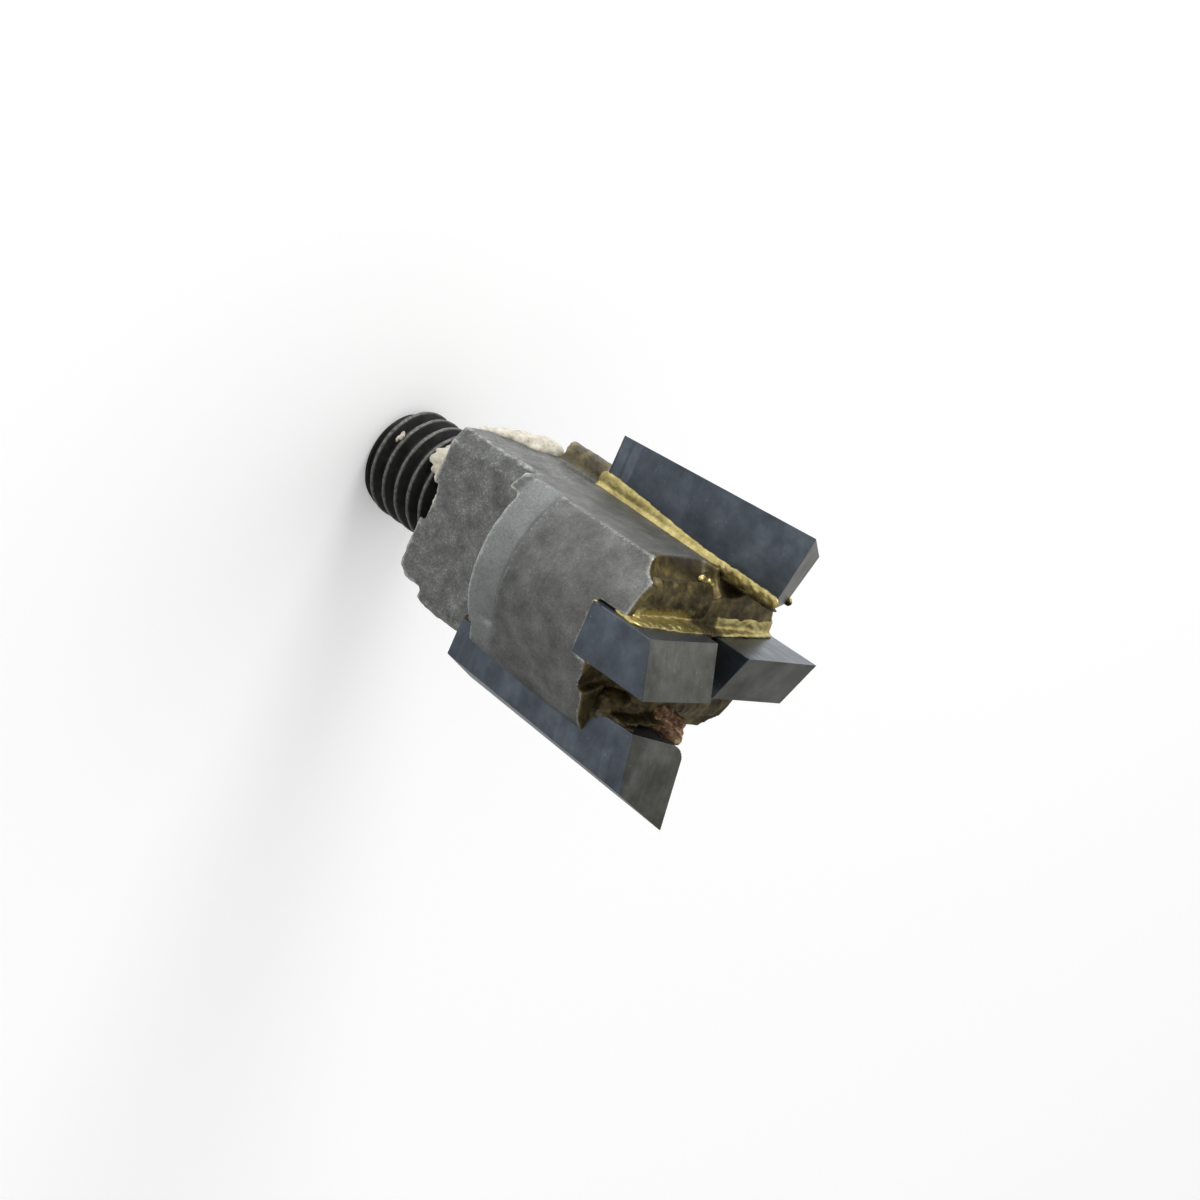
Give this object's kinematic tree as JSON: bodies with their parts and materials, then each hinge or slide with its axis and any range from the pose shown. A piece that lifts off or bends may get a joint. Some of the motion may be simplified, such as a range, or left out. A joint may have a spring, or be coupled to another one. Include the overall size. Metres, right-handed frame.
{
  "type": "plunge cutter",
  "caption": "Carbide-tipped plunge cutter for wood: steel body with long side tips and short end tips brazed in, and a threaded stud to screw it to its driver.",
  "frame": {"origin": "on the tool axis, on the flat free end of the threaded stud", "axes": "+Z along the tool axis towards the cutting end; +X towards the outer cutting edge of side tip A; +Y towards end tip C; in use the tool turns in the right-hand sense about +Z"},
  "size_m": [0.025, 0.0192, 0.0406],
  "materials": {
    "body_steel": "grit-blasted grey steel with bright worn edges",
    "stud_steel": "black oxide, satin",
    "side_carbide": "ground carbide, dark blue-grey satin",
    "end_carbide": "ground carbide, blue-grey satin",
    "braze": "yellow braze, partly tarnished brown",
    "cement": "hardened cream sealing cement, matt"
  },
  "bodies": {
    "root": {"cutter_body": "body_steel", "threaded_stud": "stud_steel", "stud_cement_ring": "cement", "side_tip_a": "side_carbide", "side_tip_b": "side_carbide", "end_tip_c": "end_carbide", "end_tip_d": "end_carbide", "side_braze_a": "braze", "side_braze_b": "braze", "end_braze_c": "braze", "end_braze_d": "braze"}
  },
  "joints": []
}
